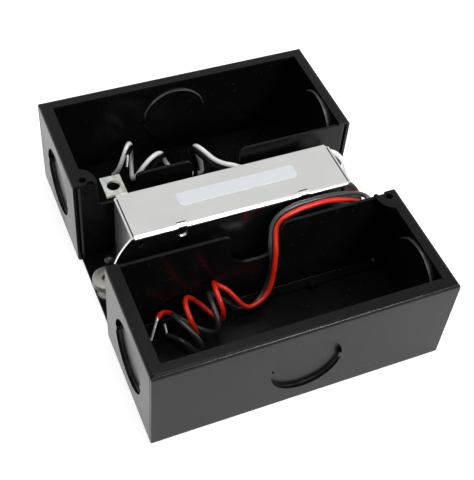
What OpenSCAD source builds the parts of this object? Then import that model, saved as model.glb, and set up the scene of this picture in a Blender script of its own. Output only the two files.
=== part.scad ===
// LED driver in a folded steel enclosure. The driver module stands in an open middle channel,
// with an open wiring compartment on each side: line leads at +Y, load leads at -Y.
// The origin is the centre of the base on the mounting surface, with +X along the driver.

/* [Enclosure] */
// Overall length along X
length = 118; // [110:1:150]
// Depth of a wiring compartment, from its outer face to the channel
compartment_depth = 50; // [46:1:70]
// Width of the open channel between the two compartments
channel_width = 40; // [36:1:60]
// Height from the mounting surface to the top of the rims
height = 43.5; // [42:0.5:60]
// Thickness of the enclosure's steel sheet
sheet = 1.2; // [0.8:0.1:1.5]
// Outer radius of the enclosure's folds
fold_radius = 1.6; // [1.6:0.1:2.5]
// Width of the rim folded inward along the top of the walls
rim_width = 5; // [4:0.5:8]
// Width of the slits where folded edges meet
seam = 0.4; // [0.2:0.1:0.8]
// Setback of the channel floor's ends from the end walls' outer faces
floor_setback = 1.6; // [0.4:0.2:2.4]

/* [Cover ears] */
// Reach of a cover ear from the end wall's outer face
ear_reach = 9.8; // [9:0.2:14]
// Length of a cover ear along the end wall, from the channel
ear_length = 9.1; // [8:0.1:16]
// Radius of the ear's free corner
ear_radius = 7; // [1:0.5:7]
// Diameter of the tapped hole for a cover screw
ear_hole = 2.9; // [2:0.1:3.5]
// Distance of the hole from the end wall's outer face
ear_hole_inset = 4.7; // [4.5:0.1:6]
// Distance of the hole from the channel
ear_hole_setback = 2.8; // [2.6:0.1:6]
// Radius of the relief bitten out of the ear's channel edge
ear_relief = 1.6; // [0.5:0.1:1.8]

/* [Knock-outs] */
// Diameter of the conduit knock-outs
knockout = 28; // [20:0.5:32]
// Width of the sheared slit round a knock-out
knockout_slit = 0.3; // [0.2:0.05:0.8]
// How far a knock-out is pressed in from the wall's outer face
knockout_press = 1.7; // [0.2:0.1:2.4]
// Width of the two ties that hold a knock-out
knockout_tie = 2.6; // [1.5:0.1:5]

/* [Partitions] */
// Width of the foot that lies on the compartment floor
foot_width = 5; // [4:0.5:8]
// Depth of the flanges folded back along the end walls
side_flange = 8; // [5:0.5:12]
// Width of the notch that the leads pass through
wire_notch = 20.4; // [14:0.2:30]
// Height of the wire notch's sill above the mounting surface
wire_sill = 24.6; // [16:0.2:30]
// Radius of the wire notch's lower corners
wire_notch_radius = 8; // [2:0.5:10]
// Radius of the rounded shoulders beside the wire notch
shoulder_radius = 3.2; // [1:0.2:5]
// Width of the notch under the ground lug
lug_notch = 15.4; // [12:0.2:20]
// Drop of the lug notch's sill below the driver's top
lug_notch_drop = 13; // [8:0.5:20]
// Radius of the lug notch's corners
lug_notch_radius = 1.8; // [0.5:0.1:3]
// Clearance between the partitions and the walls around them
partition_fit = 0.3; // [0.1:0.05:0.5]
// Width of the floor lances that hook over a foot
hook_width = 3; // [2:0.5:6]
// Place of the hook nearer the lug's end, from the middle
hook_near = 35; // [25:1:40]
// Place of the other hook, from the middle
hook_far = 26; // [15:1:40]

/* [Driver case] */
// Length of the driver case along X
driver_length = 90; // [84:1:100]
// Width of the driver case along Y
driver_width = 22.4; // [22:0.2:26]
// Height of the driver case on the channel floor
driver_height = 42; // [40:0.5:46]
// Shift of the driver case from the middle, along X
driver_shift = -1; // [-2:0.5:2]
// Thickness of the driver case's sheet
case_sheet = 0.8; // [0.6:0.05:1]
// Outer radius of the driver case's folds
case_fold = 1.5; // [1.2:0.1:2]
// Reach of the front plate's bowed ears past the case's ends
case_ear = 8; // [3:0.5:10]
// Slit between the channel's flanges and the end walls
case_slit = 0.5; // [0.2:0.1:1]
// Width of the tongues pressed into the front fold
tongue_width = 3.8; // [3:0.2:6]
// Length of a tongue down the front plate
tongue_drop = 5.6; // [4:0.2:8]
// Distance of each tongue from the case's middle
tongue_place = 25; // [15:1:35]
// Depth to which a tongue is pressed in
tongue_press = 0.5; // [0.2:0.05:0.6]
// Width of the small windows in the front plate
window_width = 1.5; // [1:0.1:3]
// Height of the small windows
window_height = 4; // [2:0.1:5]

/* [Ground lug] */
// Width of the ground lug along X
lug_width = 8; // [7:0.2:10]
// Reach of the lug behind the driver case
lug_reach = 11.6; // [10:0.2:13]
// Drop of the lug's tab below the driver case's top
lug_drop = 1; // [0:0.1:2]
// Diameter of the ground screw's hole
lug_hole = 5.1; // [4:0.1:5.4]
// Distance of the hole from the tab's free end
lug_hole_setback = 5.2; // [4:0.1:6]
// Thickness of the lug
lug_sheet = 1; // [0.8:0.1:1.5]
// Length of the leg riveted to the driver case's back
lug_leg = 14; // [10:0.5:24]
// How far the lug's tab reaches past the driver case's end
lug_overhang = 1.7; // [1:0.1:4]
// Clearance between the lug and a cover ear beside it
lug_clearance = 0.6; // [0.3:0.1:1]

/* [Thumb nuts and studs] */
// Diameter of the knurled thumb nuts
nut_diameter = 12; // [9:0.5:14]
// Height of a thumb nut
nut_height = 8.5; // [6:0.5:12]
// Height of a thumb nut's knurled head
nut_head = 3.5; // [2:0.1:5]
// Diameter of the collar under the head
nut_collar = 7.5; // [6:0.5:9]
// Number of knurls round a nut
knurls = 36; // [24:2:48]
// Diameter of the studs that the nuts run on
stud_diameter = 4; // [3:0.1:5]
// Distance of a stud from the driver case's end
stud_reach = 6.6; // [6.4:0.1:7.8]
// Width of the mounting feet under the nuts
foot_tongue = 9; // [7:0.5:9]
// Diameter of the short black locating stud
locator_diameter = 4.4; // [3:0.2:6]
// Height of the locating stud above the floor
locator_height = 5.2; // [2:0.2:8]

/* [Label] */
// Length of the bare label on the driver case
label_length = 49; // [30:1:60]
// Width of the bare label
label_width = 6.4; // [4:0.2:10]
// Thickness of the label
label_thickness = 0.15; // [0.1:0.05:0.25]

/* [Leads] */
// Outer diameter of a lead
lead_diameter = 2; // [1.6:0.1:2.7]
// Diameter of a lead's tinned conductor
conductor = 1; // [0.6:0.1:1.4]
// Width of a lead bushing
bushing_width = 9.4; // [8:0.2:11]
// Height of a lead bushing
bushing_height = 6.2; // [5:0.2:8]

/* [Circuit] */
// Length of the circuit board
board_length = 80; // [78:1:82]
// Height of the circuit board
board_height = 35; // [34:0.5:36]
// Thickness of the circuit board
board_sheet = 1.6; // [1:0.2:1.6]
// Height of the spacers behind the board
spacer_height = 2.4; // [2:0.2:2.8]
// Thickness of the insulation sheet behind the spacers
insulation = 0.4; // [0.2:0.1:0.6]

/* [Hidden] */
$fn = 48;

// Derived levels and faces of the enclosure
half_length = length / 2;
half_channel = channel_width / 2;
half_depth = half_channel + compartment_depth;
rim_level = height - sheet;
compartment_middle = half_channel + compartment_depth / 2;
knockout_level = height / 2;
cut = 1;

// Derived levels and faces of the driver case
case_bottom = sheet;
case_top = case_bottom + driver_height;
case_middle = case_bottom + driver_height / 2;
case_side = driver_width / 2;
case_left = driver_shift - driver_length / 2;
case_right = driver_shift + driver_length / 2;
flange_left = case_left + case_sheet + case_slit;
flange_right = case_right - case_sheet - case_slit;
case_back_inside = case_side - case_sheet;
case_ear_radius = (pow(driver_height / 2, 2) + pow(case_ear, 2)) / (2 * case_ear);
window_inset = 3.6;
window_drop = 5.4;
tongue_land = 0.1;
label_place = [1, 1.8];
locator_place = [1.9, 1.8];
locator_dome = 1.6;
lug_right = case_left - lug_overhang + lug_width;
lug_middle = case_left - lug_overhang + lug_width / 2;
lug_top = case_top - lug_drop;
lug_hole_y = case_side + lug_reach - lug_hole_setback;
lug_notch_shift = 2.4;
lug_notch_middle = lug_middle + lug_notch_shift;

// Sizes of the circuit's pieces, and their places on the board
board_back = case_back_inside - insulation - spacer_height;
board_front = board_back - board_sheet;
spacer_inset = 4;
spacer_diameter = 5;
choke_ring = 5;
choke_section = 2.6;
choke_place = [-30, 3];
film_size = [13, 7];
film_height = 11;
film_place = [-15.5, -12.4];
bulk_radius = 5;
bulk_height = 13;
bulk_places = [[-16.6, 9], [-16.6, -2.4]];
inductor_radius = 6;
inductor_height = 12;
inductor_rim = 1.6;
inductor_place = [27, -8];
diode_size = [5, 9];
diode_places = [[-27.5, -13.2], [-27.5, -7.6]];
fuse_size = [3.6, 11];
fuse_cap = [4.2, 2.6];
fuse_place = [-27, 13.1];

// Bushing places on the right end wall, and the flange that the leads leave
bushing_flange = 1.2;
bushing_face = case_right + bushing_flange;
bushing_waist = 1.6;
line_bushing = [3.5, 24.5];
load_bushing = [-3.5, 15.4];

// Axes and outer radius of the two loose coils that the leads end in
coil_radius = 9.2;
coil_tip = 5;
line_coil = [[-4, half_channel + 27.8, 10.8], [-30, half_channel + 38.8, 10.8]];
load_coil = [[-4, -half_channel - 10.9, 10.7], [-42, -half_channel - 13.9, 10.7]];
function coil_way(coil) = unit(coil[1] - coil[0]);
function coil_side(coil) = cross(coil_way(coil), [0, 0, 1]);
function coil_spot(coil, end, place) = coil[end] + place.x * coil_side(coil) + [0, 0, place.y];

// Stretches of a route: round the driver's end, along the channel, in the compartment, into the coil
function by_driver(points) = [for (p = points) p + [bushing_face, 0, 0]];
function by_partition(side, points) = [for (p = points) p + [0, side * half_channel, 0]];
function into_coil(coil, place) =
    [coil_spot(coil, 0, place) - lead_diameter * coil_way(coil), coil_spot(coil, 0, place)];

// Routes of the four leads from the bushings to their coils
white_route = concat(
    by_driver([
        [0, 2, 24.5], [2.6, 2, 24.5], [5, 1.2, 26], [5.6, -0.4, 29.4], [4.4, -1.8, 33],
        [2.9, -1.9, 36.2], [2.7, 0.6, 38.9], [2.7, 5, 39.6], [1.3, 10, 39], [-2.4, 13.6, 37.2],
        [-9, 15.8, 35.6], [-17, 16, 34.8],
    ]),
    by_partition(1, [
        [19, -4, 34.6], [13, -3.8, 35], [9, -3.2, 35.8], [6.4, -1.8, 36.4], [3.9, 0.6, 35.7],
        [1.7, 6, 33.6], [0.7, 12.2, 31.6], [-0.3, 17, 30.4], [-0.7, 20.8, 28.2], [-0.1, 23, 24.8],
        [1.2, 23.6, 21], [2.7, 23.9, 16.5], [3.6, 23.6, 12.4], [3.4, 23.2, 8.9],
    ]),
    into_coil(line_coil, [0, -4.6])
);
black_line_route = concat(
    by_driver([
        [0, 5, 24.5], [2.6, 5, 24.5], [5.2, 6.4, 24.8], [6.4, 9.6, 25.6], [4.8, 13, 26.6],
        [0.6, 15.2, 27.6], [-6.6, 16, 29], [-15, 16, 30.2],
    ]),
    by_partition(1, [
        [18, -4.1, 31.2], [11, -4, 32.4], [5.6, -3.2, 33.6], [2.2, -1, 34.4], [0, 1.2, 34],
        [-0.9, 7, 32.4], [-1.8, 14, 30.4], [-2.9, 19, 29.1], [-3.3, 21.9, 27.5], [-2.5, 24, 24.8],
        [-1.2, 24.5, 21.4], [0.4, 24.2, 15.7], [0.8, 23.2, 11], [0.6, 22.6, 8.4], [-0.8, 23, 5.6],
    ]),
    into_coil(line_coil, [-3.2, -6.4])
);
red_route = concat(
    by_driver([
        [0, -5, 15.4], [2.6, -5, 15.4], [5.6, -5.8, 16.8], [7.6, -8, 20], [8.2, -11, 24.2],
        [7, -13.6, 28.8], [4.2, -15.3, 33], [-0.6, -15.8, 36.8], [-6.8, -15.8, 39.9],
    ]),
    by_partition(-1, [
        [31.6, 4.2, 41.7], [24, 4, 41.9], [17.6, 3.6, 41.4], [12.6, 2.9, 40], [9.5, 1.7, 37.4],
        [8.5, -0.3, 33.8], [7.8, -3.1, 29.5], [7.1, -5, 23.6], [6.7, -5.6, 17.3],
        [5.6, -6.8, 12], [2.6, -8.4, 8.6],
    ]),
    into_coil(load_coil, [1, -3.4])
);
black_load_route = concat(
    by_driver([
        [0, -2, 15.4], [2.6, -2, 15.4], [5.8, -2.8, 17], [8.2, -5, 20.6], [9.2, -8, 25.2],
        [8.8, -11, 29.8], [6.2, -12.9, 34.2], [1.6, -13.4, 38], [-4.6, -13.7, 40.6],
    ]),
    by_partition(-1, [
        [32, 6.2, 42], [24, 6.1, 42.2], [17.6, 5.8, 41.8], [12.4, 5.1, 40.3], [8.6, 3.6, 37.2],
        [7.3, 1.5, 33.6], [6.4, -1.4, 28.8], [6.5, -2.35, 26], [7, -2.45, 20], [7, -2.6, 14],
        [5.6, -3.6, 9], [2.6, -5.4, 5.2],
    ]),
    into_coil(load_coil, [3.2, -6.8])
);

// Rectangle with rounded corners, from the origin
module rounded_rectangle(size, radius) {
    translate([radius, 0]) square([size.x - 2 * radius, size.y]);
    translate([0, radius]) square([size.x, size.y - 2 * radius]);
    for (x = [radius, size.x - radius], y = [radius, size.y - radius]) translate([x, y]) circle(radius);
}

// Section of a bent strip in the corner of the axes, with legs along +X and +Y
module bent_strip(leg_x, leg_y, thickness, radius) {
    translate([radius, 0]) square([leg_x - radius, thickness]);
    translate([0, radius]) square([thickness, leg_y - radius]);
    translate([radius, radius]) intersection() {
        difference() {
            circle(radius);
            circle(radius - thickness);
        }
        translate([-radius, -radius]) square(radius);
    }
}

// Notch cut down from a top edge at the origin, with round lower corners and round shoulders
module notch(width, depth, radius, shoulder) {
    translate([-width / 2, -depth + radius]) square([width, depth - radius + cut]);
    translate([-width / 2 + radius, -depth]) square([width - 2 * radius, depth]);
    for (side = [-1, 1]) {
        translate([side * (width / 2 - radius), -depth + radius]) circle(radius);
        difference() {
            translate([side * (width / 2 + shoulder / 2), (cut - shoulder) / 2])
                square([shoulder, shoulder + cut], center = true);
            translate([side * (width / 2 + shoulder), -shoulder]) circle(shoulder);
        }
    }
}

// Turns a drawing in X and Z upright, with its thickness running back along +Y
module upright(thickness) {
    translate([0, thickness, 0]) rotate([90, 0, 0]) linear_extrude(thickness) children();
}

// Turns a section in Y and Z into a bar along +X
module along_x(bar_length) {
    rotate([90, 0, 90]) linear_extrude(bar_length) children();
}

// Closed tube with eight sides that follows the points of a route
function unit(v) = v / norm(v);
function heading(route, i) = unit(route[min(i + 1, len(route) - 1)] - route[max(i - 1, 0)]);
function across(direction) = unit(cross(direction, abs(direction.z) < 0.8 ? [0, 0, 1] : [1, 0, 0]));
function carried(previous, direction) = unit(previous - (previous * direction) * direction);
function side_axes(route, i = 0, axes = []) =
    i == len(route) ? axes
    : side_axes(route, i + 1, concat(axes, [
        i == 0 ? across(heading(route, 0)) : carried(axes[i - 1], heading(route, i)),
    ]));

module tube(route, diameter) {
    sides = 8;
    axes = side_axes(route);
    ring_points = [
        for (i = [0:len(route) - 1], k = [0:sides - 1])
            let (turn = 360 * k / sides, up = cross(heading(route, i), axes[i]))
                route[i] + diameter / 2 * (cos(turn) * axes[i] + sin(turn) * up),
    ];
    last = (len(route) - 1) * sides;
    side_faces = [
        for (i = [0:len(route) - 2], k = [0:sides - 1])
            let (this = i * sides, next = this + sides, turned = (k + 1) % sides)
                [this + k, next + k, next + turned, this + turned],
    ];
    start_face = [[for (k = [0:sides - 1]) k]];
    end_face = [[for (k = [sides - 1:-1:0]) last + k]];
    polyhedron(ring_points, concat(start_face, side_faces, end_face), convexity = 10);
}

// Straight round bar between two points
module bar_between(ends, radius) {
    run = ends[1] - ends[0];
    translate(ends[0]) rotate([0, acos(run.z / norm(run)), atan2(run.y, run.x)])
        cylinder(h = norm(run), r = radius);
}

// Place of each knock-out: the middle of its disc on a wall's outer face, and the wall's inward turn
function knockout_places() = [
    for (turn = [0, 180]) each [
        [turn, [0, -half_depth, knockout_level], 0],
        [turn, [half_length, -compartment_middle, knockout_level], 90],
        [turn, [-half_length, -compartment_middle, knockout_level], -90],
    ],
];

module at_knockouts() {
    for (place = knockout_places())
        rotate(place[0]) translate(place[1]) rotate(place[2]) rotate([-90, 0, 0]) children();
}

// Disc pressed in from the wall, held by a bent tie on each side
module knockout_disc() {
    disc_radius = knockout / 2 - knockout_slit;
    depth = knockout_press + sheet;
    grip = 0.8;
    root = 0.4;
    translate([0, 0, knockout_press]) cylinder(h = sheet, r = disc_radius);
    intersection() {
        translate([-knockout / 2 - cut, -knockout_tie / 2, 0])
            cube([knockout + 2 * cut, knockout_tie, depth]);
        difference() {
            cylinder(h = depth, r = knockout / 2 + root);
            translate([0, 0, -cut]) cylinder(h = depth + 2 * cut, r = disc_radius - grip);
        }
    }
}

// Outer form of the folded sheet, with its folds rounded along every outer edge
module folded_envelope() {
    intersection() {
        translate([-half_length, -half_depth, 0])
            upright(2 * half_depth) rounded_rectangle([length, height], fold_radius);
        translate([-half_length, -half_depth, 0])
            along_x(length) rounded_rectangle([2 * half_depth, height], fold_radius);
    }
}

// Ear outline, from the end wall's outer corner at the channel
module ear_outline() {
    difference() {
        union() {
            square([ear_reach, ear_length - ear_radius]);
            square([ear_reach - ear_radius, ear_length]);
            translate([ear_reach - ear_radius, ear_length - ear_radius]) circle(ear_radius);
        }
        translate([ear_hole_inset + ear_hole / 2 + ear_relief / 2, 0]) circle(ear_relief);
    }
}

// Turns an ear's drawing into its place at both corners that have one
module at_ears() {
    for (turn = [0, 180]) rotate(turn)
        translate([half_length, -half_channel, rim_level]) mirror([1, 0, 0]) mirror([0, 1, 0]) children();
}

// Room that the ground lug's tab needs, which a cover ear beside it gives up
module lug_room() {
    room = [lug_width, lug_reach, lug_sheet] + 2 * lug_clearance * [1, 1, 1];
    translate([case_left - lug_overhang, case_side, lug_top - lug_sheet] - lug_clearance * [1, 1, 1])
        cube([room.x, room.y, room.z + height]);
}

// Openings of the compartment at -Y: its inside, its mouth between the rims, and its seams
module compartment_cuts() {
    inside = [length - 2 * sheet, compartment_depth - sheet + cut, rim_level - sheet];
    mouth = [length - 2 * rim_width, compartment_depth - rim_width + cut, sheet + cut];
    translate([-inside.x / 2, -half_depth + sheet, sheet]) cube(inside);
    translate([-mouth.x / 2, -half_depth + rim_width, rim_level]) cube(mouth);
    for (side = [-1, 1]) {
        translate([side * (half_length - sheet / 2), -half_depth + sheet + seam / 2,
                   (fold_radius + height) / 2])
            cube([sheet + cut, seam, height - fold_radius + cut], center = true);
        translate([side * half_length, -half_depth, height - sheet / 2]) rotate(-side * 45)
            cube([seam, 4 * rim_width, sheet + cut], center = true);
    }
}

// Floor lance that hooks over a partition's foot at -Y
module floor_hook() {
    stem_y = -half_channel - foot_width - partition_fit;
    hook_reach = 2.2;
    translate([-hook_width / 2, stem_y - sheet, sheet]) {
        cube([hook_width, sheet, sheet + partition_fit + sheet]);
        translate([0, 0, sheet + partition_fit]) cube([hook_width, sheet + hook_reach, sheet]);
    }
}

module enclosure_pan() color([0.05, 0.05, 0.055]) {
    difference() {
        union() {
            difference() {
                folded_envelope();
                for (turn = [0, 180]) rotate(turn) compartment_cuts();
                translate([-half_length - cut, -half_channel, sheet])
                    cube([length + 2 * cut, channel_width, height]);
                for (side = [-1, 1])
                    translate([side * (half_length - floor_setback / 2), 0, sheet / 2])
                        cube([floor_setback, channel_width, sheet + cut], center = true);
                at_knockouts() translate([0, 0, -cut]) cylinder(h = sheet + 2 * cut, d = knockout);
            }
            difference() {
                at_ears() intersection() {
                    linear_extrude(sheet) ear_outline();
                    translate([fold_radius, 0, 0]) cube([ear_reach, ear_length, sheet]);
                }
                lug_room();
            }
        }
        at_ears() translate([ear_hole_inset, ear_hole_setback, -cut])
            cylinder(h = sheet + 2 * cut, d = ear_hole);
    }
    at_knockouts() knockout_disc();
    for (turn = [0, 180]) rotate(turn)
        for (place = [hook_near, -hook_far]) translate([-place, 0, 0]) floor_hook();
}

// Folded wall between the load compartment and the channel, with its face at -Y
module partition_sheet() {
    face_length = length - 2 * (sheet + partition_fit);
    face_height = rim_level - sheet;
    relief = fold_radius + partition_fit;
    difference() {
        union() {
            translate([-face_length / 2 + relief, -half_channel, sheet]) mirror([0, 1, 0])
                along_x(face_length - 2 * relief) bent_strip(foot_width, face_height, sheet, fold_radius);
            for (side = [0, 1]) mirror([side, 0, 0])
                translate([-face_length / 2, -half_channel, sheet + relief]) mirror([0, 1, 0])
                    linear_extrude(face_height - relief)
                        bent_strip(face_length / 2, side_flange, sheet, fold_radius);
        }
        translate([0, -half_channel - sheet - cut, rim_level]) upright(sheet + 2 * cut)
            notch(wire_notch, rim_level - wire_sill, wire_notch_radius, shoulder_radius);
    }
}

module load_side_partition() color([0.06, 0.06, 0.065]) partition_sheet();

module line_side_partition() color([0.06, 0.06, 0.065]) {
    difference() {
        rotate(180) partition_sheet();
        translate([lug_notch_middle, half_channel - cut, rim_level]) upright(sheet + 2 * cut)
            notch(lug_notch, rim_level - case_top + lug_notch_drop, lug_notch_radius, lug_notch_radius);
    }
}

// Half-round outline of a tongue on the front plate, in X and Z
module tongue_outline(grow) {
    width = tongue_width + 2 * grow;
    round_level = case_top - tongue_drop + tongue_width / 2;
    translate([0, round_level]) circle(d = width);
    translate([-width / 2, round_level]) square([width, tongue_drop]);
}

// Room of a tongue, from before the front plate to its slit behind the fold
module tongue_room(grow) {
    translate([0, -case_side - cut, 0]) upright(cut + case_fold + tongue_land) tongue_outline(grow);
}

module at_tongues() {
    for (side = [-1, 1]) translate([driver_shift + side * tongue_place, 0, 0]) children();
}

// Front plate's end, bowed out through the case's corners, as far as the flanges
module front_ear() {
    intersection() {
        translate([case_ear_radius, driver_height / 2]) circle(case_ear_radius);
        square([case_ear + case_sheet + case_slit, driver_height]);
    }
}

// Front plate with the top and bottom flanges folded back from it
module channel_strip() {
    for (half = [0, 1]) translate([0, 0, 2 * case_middle * half]) mirror([0, 0, half])
        translate([flange_left, -case_side, case_bottom]) along_x(flange_right - flange_left)
            bent_strip(driver_width, driver_height / 2, case_sheet, case_fold);
}

module driver_channel() color([0.78, 0.79, 0.8]) {
    tongue_gap = 0.5;
    tongue_edge = 0.1;
    slit_y = -case_side + case_fold + tongue_land;
    difference() {
        union() {
            channel_strip();
            translate([driver_shift, -case_side, 0]) upright(case_sheet)
                for (end = [0, 1]) mirror([end, 0])
                    translate([-driver_length / 2 - case_ear, case_bottom]) front_ear();
        }
        at_tongues() {
            tongue_room(0);
            translate([-tongue_width / 2, slit_y, case_top - case_sheet - cut])
                cube([tongue_width, tongue_press + tongue_gap, case_sheet + 2 * cut]);
        }
        for (side = [-1, 1])
            translate([driver_shift + side * (driver_length / 2 - window_inset) - window_width / 2,
                       -case_side - cut, case_top - window_drop])
                cube([window_width, case_sheet + 2 * cut, window_height]);
    }
    translate([0, tongue_press, 0]) intersection() {
        channel_strip();
        at_tongues() tongue_room(tongue_edge);
    }
}

// Obround outline of a lead bushing, in the end wall's Y and Z
module bushing_outline(grow) {
    diameter = bushing_height + 2 * grow;
    straight = bushing_width - bushing_height;
    square([straight, diameter], center = true);
    for (side = [-1, 1]) translate([side * straight / 2, 0]) circle(d = diameter);
}

// Mounting foot folded out from an end wall, with a round end and a hole for its stud
module mounting_foot() {
    hole_fit = 0.4;
    difference() {
        union() {
            translate([0, -foot_tongue / 2, 0]) cube([stud_reach, foot_tongue, case_sheet]);
            translate([stud_reach, 0, 0]) cylinder(h = case_sheet, d = foot_tongue);
        }
        translate([stud_reach, 0, -cut]) cylinder(h = case_sheet + 2 * cut, d = stud_diameter + hole_fit);
    }
}

module driver_tray() color([0.7, 0.72, 0.74]) {
    wall_front = -case_side + case_sheet;
    back_bottom = case_bottom + case_sheet;
    back_height = driver_height - 2 * case_sheet;
    difference() {
        union() {
            translate([case_left, case_side, back_bottom]) mirror([0, 1, 0]) linear_extrude(back_height)
                for (end = [0, 1]) translate([driver_length * end, 0]) mirror([end, 0])
                    bent_strip(driver_length / 2, driver_width - case_sheet, case_sheet, case_fold);
            for (x = [case_left, case_right - case_sheet])
                translate([x, wall_front, case_bottom])
                    cube([case_sheet, driver_width - case_sheet - case_fold, driver_height]);
        }
        for (place = [line_bushing, load_bushing])
            translate([case_right - case_sheet - cut, place.x, place.y])
                along_x(case_sheet + 2 * cut) bushing_outline(0);
    }
    translate([case_right, 0, case_bottom]) mounting_foot();
    translate([case_left, 0, case_bottom]) mirror([1, 0, 0]) mounting_foot();
}

module blank_label() color([0.9, 0.92, 0.95]) {
    corner = 1.2;
    translate([label_place.x - label_length / 2, label_place.y - label_width / 2, case_top])
        linear_extrude(label_thickness) rounded_rectangle([label_length, label_width], corner);
}

module ground_lug() color([0.78, 0.77, 0.7]) {
    inner_bend = 0.6;
    lug_fold = lug_sheet + inner_bend;
    leg_left = case_left + case_fold;
    difference() {
        union() {
            translate([leg_left, case_side, lug_top]) mirror([0, 0, 1])
                along_x(lug_right - leg_left) bent_strip(lug_reach, lug_leg, lug_sheet, lug_fold);
            translate([case_left - lug_overhang, case_side + lug_fold, lug_top - lug_sheet])
                cube([lug_width, lug_reach - lug_fold, lug_sheet]);
        }
        translate([lug_middle, lug_hole_y, lug_top - lug_sheet - cut])
            cylinder(h = lug_sheet + 2 * cut, d = lug_hole);
    }
}

module ground_lug_rivet() color([0.75, 0.75, 0.73]) {
    head = 3.6;
    head_height = 0.9;
    rivet_x = (case_left + case_fold + lug_right) / 2;
    translate([rivet_x, case_side + lug_sheet, lug_top - lug_leg + head])
        rotate([-90, 0, 0]) {
            cylinder(h = head_height / 2, d = head);
            translate([0, 0, head_height / 2]) cylinder(h = head_height / 2, d1 = head, d2 = head / 2);
        }
}

module at_studs() {
    for (x = [case_left - stud_reach, case_right + stud_reach]) translate([x, 0, 0]) children();
}

module foot_studs() color([0.6, 0.6, 0.58]) {
    tip_below = 2;
    at_studs() translate([0, 0, sheet])
        cylinder(h = case_sheet + nut_height - tip_below, d = stud_diameter);
}

// Outline of a knurled rim: a closed row of sharp ridges
module knurled_outline(diameter, ridge) {
    polygon([
        for (k = [0:2 * knurls - 1])
            let (turn = 180 * k / knurls, radius = diameter / 2 - ridge * (k % 2))
                radius * [cos(turn), sin(turn)],
    ]);
}

// Blind thumb nuts: a knurled head with a plain flat top, on a collar
module thumb_nuts() color([0.82, 0.82, 0.8]) {
    ridge = 0.5;
    shoulder = 0.3;
    roof = 1.5;
    thread_clearance = 0.1;
    nut_bottom = sheet + case_sheet;
    head_bottom = nut_height - nut_head;
    at_studs() translate([0, 0, nut_bottom]) difference() {
        union() {
            cylinder(h = nut_height, d = nut_collar);
            translate([0, 0, head_bottom + shoulder]) linear_extrude(nut_head - 2 * shoulder)
                knurled_outline(nut_diameter, ridge);
            translate([0, 0, head_bottom])
                cylinder(h = nut_head, d = nut_diameter - 2 * ridge - 2 * shoulder);
        }
        translate([0, 0, -cut])
            cylinder(h = nut_height - roof + cut, d = stud_diameter + thread_clearance);
    }
}

module locating_stud() color([0.07, 0.07, 0.075]) {
    radius = locator_diameter / 2;
    cap_radius = (pow(radius, 2) + pow(locator_dome, 2)) / (2 * locator_dome);
    translate([case_left - locator_place.x, case_side + locator_place.y, sheet]) rotate_extrude() {
        square([radius, locator_height - locator_dome]);
        translate([0, locator_height - locator_dome]) intersection() {
            square([radius, locator_dome]);
            translate([0, locator_dome - cap_radius]) circle(cap_radius);
        }
    }
}

// Snap-in bushing: a flange outside the end wall, a waist through it and a lip inside
module lead_bushing(place) {
    lip = 0.7;
    waist_fit = 0.05;
    translate([case_right, place.x, place.y]) {
        along_x(bushing_flange) bushing_outline(bushing_waist / 2);
        translate([-case_sheet, 0, 0]) along_x(case_sheet) bushing_outline(-waist_fit);
        translate([-case_sheet - bushing_waist, 0, 0]) along_x(bushing_waist) bushing_outline(lip / 2);
    }
}

module line_lead_bushing() color([0.1, 0.1, 0.1]) lead_bushing(line_bushing);

module load_lead_bushing() color([0.1, 0.1, 0.1]) lead_bushing(load_bushing);

module white_line_lead() color([0.93, 0.93, 0.92]) tube(white_route, lead_diameter);

module black_line_lead() color([0.05, 0.05, 0.05]) tube(black_line_route, lead_diameter);

module red_load_lead() color([0.8, 0.12, 0.08]) tube(red_route, lead_diameter);

module black_load_lead() color([0.05, 0.05, 0.05]) tube(black_load_route, lead_diameter);

module line_lead_coil() color([0.9, 0.9, 0.9]) bar_between(line_coil, coil_radius);

module load_lead_coil() color([0.75, 0.12, 0.08]) bar_between(load_coil, coil_radius);

// Bare conductors that stand out of a coil's far end
module lead_tips(coil, places) {
    for (place = places) {
        start = coil_spot(coil, 1, place);
        bar_between([start, start + coil_tip * coil_way(coil)], conductor / 2);
    }
}

module line_lead_tips() color([0.75, 0.73, 0.7]) lead_tips(line_coil, [[-5, -4], [5, -4]]);

module load_lead_tips() color([0.75, 0.73, 0.7]) lead_tips(load_coil, [[5, -4], [-5, -6]]);

module insulation_sheet() color([0.85, 0.8, 0.65]) {
    sheet_margin = 2;
    size = [driver_length - 2 * case_fold - sheet_margin, driver_height - 4 * case_sheet - sheet_margin];
    translate([driver_shift - size.x / 2, case_back_inside - insulation, case_middle - size.y / 2])
        cube([size.x, insulation, size.y]);
}

module board_spacers() color([0.9, 0.9, 0.88]) {
    for (x = [-1, 1], z = [-1, 1])
        translate([driver_shift + x * (board_length / 2 - spacer_inset), case_back_inside - insulation,
                   case_middle + z * (board_height / 2 - spacer_inset)])
            rotate([90, 0, 0]) cylinder(h = spacer_height, d = spacer_diameter);
}

// Places children on the board's component side, with +Z standing out from the board
module on_board(x, z) {
    translate([driver_shift + x, board_front, case_middle + z]) rotate([90, 0, 0]) children();
}

module circuit_board() color([0.1, 0.35, 0.2]) {
    hole = 3;
    difference() {
        translate([driver_shift - board_length / 2, board_front, case_middle - board_height / 2])
            cube([board_length, board_sheet, board_height]);
        for (x = [-1, 1], z = [-1, 1])
            on_board(x * (board_length / 2 - spacer_inset), z * (board_height / 2 - spacer_inset))
                translate([0, 0, -board_sheet - cut]) cylinder(h = board_sheet + 2 * cut, d = hole);
    }
}

// Ferrite core with a window on each side of its middle leg
core_size = [22, 18, 12];
core_leg = 6;
core_yoke = 3.6;
core_place = [4, 0];
core_stand = 1;

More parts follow.
